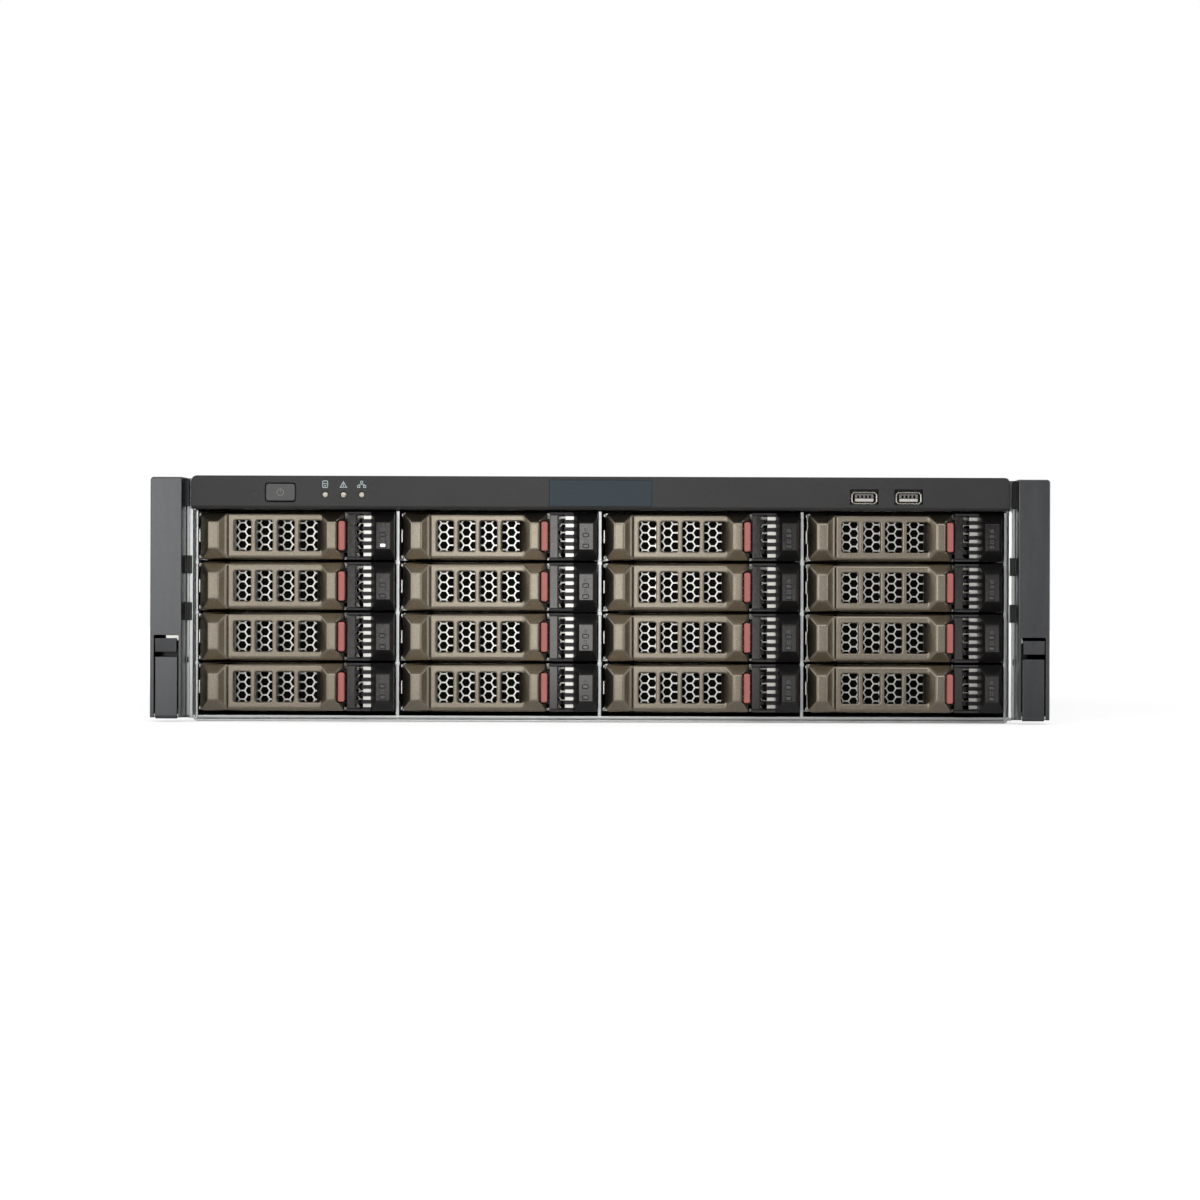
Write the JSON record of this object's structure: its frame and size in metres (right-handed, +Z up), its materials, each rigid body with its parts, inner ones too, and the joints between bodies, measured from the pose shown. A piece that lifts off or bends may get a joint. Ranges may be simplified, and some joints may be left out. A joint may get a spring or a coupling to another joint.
{
  "type": "ip video recorder",
  "caption": "Rack-mounted network video recorder: low steel chassis with rack ears, a dark front bezel and a grid of lever-front drive trays that slide out.",
  "frame": {"origin": "middle of the footprint on the surface that the chassis stands on", "axes": "+Z up, +X to the right as seen from the front, the front faces -Y"},
  "size_m": [0.4826, 0.5164, 0.1325],
  "materials": {
    "zinc_steel": "satin",
    "tray_metal": "satin",
    "lever_bronze": "satin",
    "release_red": "matte",
    "bezel_plastic": "matte",
    "ear_plastic": "matte",
    "circuit_board": "satin",
    "fan_plastic": "matte"
  },
  "bodies": {
    "chassis": {"chassis": "zinc_steel", "rear_panel": "zinc_steel", "rear_vent": "zinc_steel", "connector_shield": "zinc_steel", "top_cover": "zinc_steel", "front_bezel": "bezel_plastic", "front_io_board": "circuit_board", "rack_ears": "ear_plastic", "backplane": "circuit_board", "fan_wall": "fan_plastic", "system_board": "circuit_board", "power_supply": "zinc_steel"},
    "power_button": {"power_button": "bezel_plastic"},
    "left_ear_flap": {"left_ear_flap": "ear_plastic"},
    "right_ear_flap": {"right_ear_flap": "ear_plastic"},
    "tray_r2c3": {"tray_r2c3": "tray_metal"},
    "lever_r2c3": {"lever_r2c3": "lever_bronze"},
    "button_r2c3": {"button_r2c3": "release_red"},
    "tray_r3c2": {"tray_r3c2": "tray_metal"},
    "lever_r3c2": {"lever_r3c2": "lever_bronze"},
    "button_r3c2": {"button_r3c2": "release_red"},
    "tray_r1c1": {"tray_r1c1": "tray_metal"},
    "lever_r1c1": {"lever_r1c1": "lever_bronze"},
    "button_r1c1": {"button_r1c1": "release_red"},
    "tray_r1c2": {"tray_r1c2": "tray_metal"},
    "lever_r1c2": {"lever_r1c2": "lever_bronze"},
    "button_r1c2": {"button_r1c2": "release_red"},
    "tray_r1c3": {"tray_r1c3": "tray_metal"},
    "lever_r1c3": {"lever_r1c3": "lever_bronze"},
    "button_r1c3": {"button_r1c3": "release_red"},
    "tray_r1c4": {"tray_r1c4": "tray_metal"},
    "lever_r1c4": {"lever_r1c4": "lever_bronze"},
    "button_r1c4": {"button_r1c4": "release_red"},
    "tray_r2c1": {"tray_r2c1": "tray_metal"},
    "lever_r2c1": {"lever_r2c1": "lever_bronze"},
    "button_r2c1": {"button_r2c1": "release_red"},
    "tray_r2c2": {"tray_r2c2": "tray_metal"},
    "lever_r2c2": {"lever_r2c2": "lever_bronze"},
    "button_r2c2": {"button_r2c2": "release_red"},
    "tray_r2c4": {"tray_r2c4": "tray_metal"},
    "lever_r2c4": {"lever_r2c4": "lever_bronze"},
    "button_r2c4": {"button_r2c4": "release_red"},
    "tray_r3c1": {"tray_r3c1": "tray_metal"},
    "lever_r3c1": {"lever_r3c1": "lever_bronze"},
    "button_r3c1": {"button_r3c1": "release_red"},
    "tray_r3c3": {"tray_r3c3": "tray_metal"},
    "lever_r3c3": {"lever_r3c3": "lever_bronze"},
    "button_r3c3": {"button_r3c3": "release_red"},
    "tray_r3c4": {"tray_r3c4": "tray_metal"},
    "lever_r3c4": {"lever_r3c4": "lever_bronze"},
    "button_r3c4": {"button_r3c4": "release_red"},
    "tray_r4c1": {"tray_r4c1": "tray_metal"},
    "lever_r4c1": {"lever_r4c1": "lever_bronze"},
    "button_r4c1": {"button_r4c1": "release_red"},
    "tray_r4c2": {"tray_r4c2": "tray_metal"},
    "lever_r4c2": {"lever_r4c2": "lever_bronze"},
    "button_r4c2": {"button_r4c2": "release_red"},
    "tray_r4c3": {"tray_r4c3": "tray_metal"},
    "lever_r4c3": {"lever_r4c3": "lever_bronze"},
    "button_r4c3": {"button_r4c3": "release_red"},
    "tray_r4c4": {"tray_r4c4": "tray_metal"},
    "lever_r4c4": {"lever_r4c4": "lever_bronze"},
    "button_r4c4": {"button_r4c4": "release_red"}
  },
  "joints": [
    {"name": "tray_slide_r2c3", "type": "slide", "parent": "chassis", "child": "tray_r2c3", "axis": [0, -1, 0], "range_m": [0, 0.19]},
    {"name": "lever_hinge_r2c3", "type": "hinge", "parent": "tray_r2c3", "child": "lever_r2c3", "pos_m": [0.0073, -0.2457, 0.073], "axis": [0, 0, -1], "range_deg": [0, 55]},
    {"name": "button_press_r2c3", "type": "slide", "parent": "tray_r2c3", "child": "button_r2c3", "axis": [0, 1, 0], "range_m": [0, 0.002], "stiffness_N_per_m": 400},
    {"name": "right_flap_hinge", "type": "hinge", "parent": "chassis", "child": "right_ear_flap", "pos_m": [0.23255, -0.2561, 0.0035], "axis": [1, 0, 0], "range_deg": [0, 90]},
    {"name": "left_flap_hinge", "type": "hinge", "parent": "chassis", "child": "left_ear_flap", "pos_m": [-0.23255, -0.2561, 0.0035], "axis": [1, 0, 0], "range_deg": [0, 90]},
    {"name": "power_button_press", "type": "slide", "parent": "chassis", "child": "power_button", "axis": [0, 1, 0], "range_m": [0, 0.0015], "stiffness_N_per_m": 800},
    {"name": "tray_slide_r3c2", "type": "slide", "parent": "chassis", "child": "tray_r3c2", "axis": [0, -1, 0], "range_m": [0, 0.19]},
    {"name": "lever_hinge_r3c2", "type": "hinge", "parent": "tray_r3c2", "child": "lever_r3c2", "pos_m": [-0.1019, -0.2457, 0.0458], "axis": [0, 0, -1], "range_deg": [0, 55]},
    {"name": "button_press_r3c2", "type": "slide", "parent": "tray_r3c2", "child": "button_r3c2", "axis": [0, 1, 0], "range_m": [0, 0.002], "stiffness_N_per_m": 400},
    {"name": "tray_slide_r1c1", "type": "slide", "parent": "chassis", "child": "tray_r1c1", "axis": [0, -1, 0], "range_m": [0, 0.19]},
    {"name": "lever_hinge_r1c1", "type": "hinge", "parent": "tray_r1c1", "child": "lever_r1c1", "pos_m": [-0.2111, -0.2457, 0.1002], "axis": [0, 0, -1], "range_deg": [0, 55]},
    {"name": "button_press_r1c1", "type": "slide", "parent": "tray_r1c1", "child": "button_r1c1", "axis": [0, 1, 0], "range_m": [0, 0.002], "stiffness_N_per_m": 400},
    {"name": "tray_slide_r1c2", "type": "slide", "parent": "chassis", "child": "tray_r1c2", "axis": [0, -1, 0], "range_m": [0, 0.19]},
    {"name": "lever_hinge_r1c2", "type": "hinge", "parent": "tray_r1c2", "child": "lever_r1c2", "pos_m": [-0.1019, -0.2457, 0.1002], "axis": [0, 0, -1], "range_deg": [0, 55]},
    {"name": "button_press_r1c2", "type": "slide", "parent": "tray_r1c2", "child": "button_r1c2", "axis": [0, 1, 0], "range_m": [0, 0.002], "stiffness_N_per_m": 400},
    {"name": "tray_slide_r1c3", "type": "slide", "parent": "chassis", "child": "tray_r1c3", "axis": [0, -1, 0], "range_m": [0, 0.19]},
    {"name": "lever_hinge_r1c3", "type": "hinge", "parent": "tray_r1c3", "child": "lever_r1c3", "pos_m": [0.0073, -0.2457, 0.1002], "axis": [0, 0, -1], "range_deg": [0, 55]},
    {"name": "button_press_r1c3", "type": "slide", "parent": "tray_r1c3", "child": "button_r1c3", "axis": [0, 1, 0], "range_m": [0, 0.002], "stiffness_N_per_m": 400},
    {"name": "tray_slide_r1c4", "type": "slide", "parent": "chassis", "child": "tray_r1c4", "axis": [0, -1, 0], "range_m": [0, 0.19]},
    {"name": "lever_hinge_r1c4", "type": "hinge", "parent": "tray_r1c4", "child": "lever_r1c4", "pos_m": [0.1165, -0.2457, 0.1002], "axis": [0, 0, -1], "range_deg": [0, 55]},
    {"name": "button_press_r1c4", "type": "slide", "parent": "tray_r1c4", "child": "button_r1c4", "axis": [0, 1, 0], "range_m": [0, 0.002], "stiffness_N_per_m": 400},
    {"name": "tray_slide_r2c1", "type": "slide", "parent": "chassis", "child": "tray_r2c1", "axis": [0, -1, 0], "range_m": [0, 0.19]},
    {"name": "lever_hinge_r2c1", "type": "hinge", "parent": "tray_r2c1", "child": "lever_r2c1", "pos_m": [-0.2111, -0.2457, 0.073], "axis": [0, 0, -1], "range_deg": [0, 55]},
    {"name": "button_press_r2c1", "type": "slide", "parent": "tray_r2c1", "child": "button_r2c1", "axis": [0, 1, 0], "range_m": [0, 0.002], "stiffness_N_per_m": 400},
    {"name": "tray_slide_r2c2", "type": "slide", "parent": "chassis", "child": "tray_r2c2", "axis": [0, -1, 0], "range_m": [0, 0.19]},
    {"name": "lever_hinge_r2c2", "type": "hinge", "parent": "tray_r2c2", "child": "lever_r2c2", "pos_m": [-0.1019, -0.2457, 0.073], "axis": [0, 0, -1], "range_deg": [0, 55]},
    {"name": "button_press_r2c2", "type": "slide", "parent": "tray_r2c2", "child": "button_r2c2", "axis": [0, 1, 0], "range_m": [0, 0.002], "stiffness_N_per_m": 400},
    {"name": "tray_slide_r2c4", "type": "slide", "parent": "chassis", "child": "tray_r2c4", "axis": [0, -1, 0], "range_m": [0, 0.19]},
    {"name": "lever_hinge_r2c4", "type": "hinge", "parent": "tray_r2c4", "child": "lever_r2c4", "pos_m": [0.1165, -0.2457, 0.073], "axis": [0, 0, -1], "range_deg": [0, 55]},
    {"name": "button_press_r2c4", "type": "slide", "parent": "tray_r2c4", "child": "button_r2c4", "axis": [0, 1, 0], "range_m": [0, 0.002], "stiffness_N_per_m": 400},
    {"name": "tray_slide_r3c1", "type": "slide", "parent": "chassis", "child": "tray_r3c1", "axis": [0, -1, 0], "range_m": [0, 0.19]},
    {"name": "lever_hinge_r3c1", "type": "hinge", "parent": "tray_r3c1", "child": "lever_r3c1", "pos_m": [-0.2111, -0.2457, 0.0458], "axis": [0, 0, -1], "range_deg": [0, 55]},
    {"name": "button_press_r3c1", "type": "slide", "parent": "tray_r3c1", "child": "button_r3c1", "axis": [0, 1, 0], "range_m": [0, 0.002], "stiffness_N_per_m": 400},
    {"name": "tray_slide_r3c3", "type": "slide", "parent": "chassis", "child": "tray_r3c3", "axis": [0, -1, 0], "range_m": [0, 0.19]},
    {"name": "lever_hinge_r3c3", "type": "hinge", "parent": "tray_r3c3", "child": "lever_r3c3", "pos_m": [0.0073, -0.2457, 0.0458], "axis": [0, 0, -1], "range_deg": [0, 55]},
    {"name": "button_press_r3c3", "type": "slide", "parent": "tray_r3c3", "child": "button_r3c3", "axis": [0, 1, 0], "range_m": [0, 0.002], "stiffness_N_per_m": 400},
    {"name": "tray_slide_r3c4", "type": "slide", "parent": "chassis", "child": "tray_r3c4", "axis": [0, -1, 0], "range_m": [0, 0.19]},
    {"name": "lever_hinge_r3c4", "type": "hinge", "parent": "tray_r3c4", "child": "lever_r3c4", "pos_m": [0.1165, -0.2457, 0.0458], "axis": [0, 0, -1], "range_deg": [0, 55]},
    {"name": "button_press_r3c4", "type": "slide", "parent": "tray_r3c4", "child": "button_r3c4", "axis": [0, 1, 0], "range_m": [0, 0.002], "stiffness_N_per_m": 400},
    {"name": "tray_slide_r4c1", "type": "slide", "parent": "chassis", "child": "tray_r4c1", "axis": [0, -1, 0], "range_m": [0, 0.19]},
    {"name": "lever_hinge_r4c1", "type": "hinge", "parent": "tray_r4c1", "child": "lever_r4c1", "pos_m": [-0.2111, -0.2457, 0.0186], "axis": [0, 0, -1], "range_deg": [0, 55]},
    {"name": "button_press_r4c1", "type": "slide", "parent": "tray_r4c1", "child": "button_r4c1", "axis": [0, 1, 0], "range_m": [0, 0.002], "stiffness_N_per_m": 400},
    {"name": "tray_slide_r4c2", "type": "slide", "parent": "chassis", "child": "tray_r4c2", "axis": [0, -1, 0], "range_m": [0, 0.19]},
    {"name": "lever_hinge_r4c2", "type": "hinge", "parent": "tray_r4c2", "child": "lever_r4c2", "pos_m": [-0.1019, -0.2457, 0.0186], "axis": [0, 0, -1], "range_deg": [0, 55]},
    {"name": "button_press_r4c2", "type": "slide", "parent": "tray_r4c2", "child": "button_r4c2", "axis": [0, 1, 0], "range_m": [0, 0.002], "stiffness_N_per_m": 400},
    {"name": "tray_slide_r4c3", "type": "slide", "parent": "chassis", "child": "tray_r4c3", "axis": [0, -1, 0], "range_m": [0, 0.19]},
    {"name": "lever_hinge_r4c3", "type": "hinge", "parent": "tray_r4c3", "child": "lever_r4c3", "pos_m": [0.0073, -0.2457, 0.0186], "axis": [0, 0, -1], "range_deg": [0, 55]},
    {"name": "button_press_r4c3", "type": "slide", "parent": "tray_r4c3", "child": "button_r4c3", "axis": [0, 1, 0], "range_m": [0, 0.002], "stiffness_N_per_m": 400},
    {"name": "tray_slide_r4c4", "type": "slide", "parent": "chassis", "child": "tray_r4c4", "axis": [0, -1, 0], "range_m": [0, 0.19]},
    {"name": "lever_hinge_r4c4", "type": "hinge", "parent": "tray_r4c4", "child": "lever_r4c4", "pos_m": [0.1165, -0.2457, 0.0186], "axis": [0, 0, -1], "range_deg": [0, 55]},
    {"name": "button_press_r4c4", "type": "slide", "parent": "tray_r4c4", "child": "button_r4c4", "axis": [0, 1, 0], "range_m": [0, 0.002], "stiffness_N_per_m": 400}
  ]
}
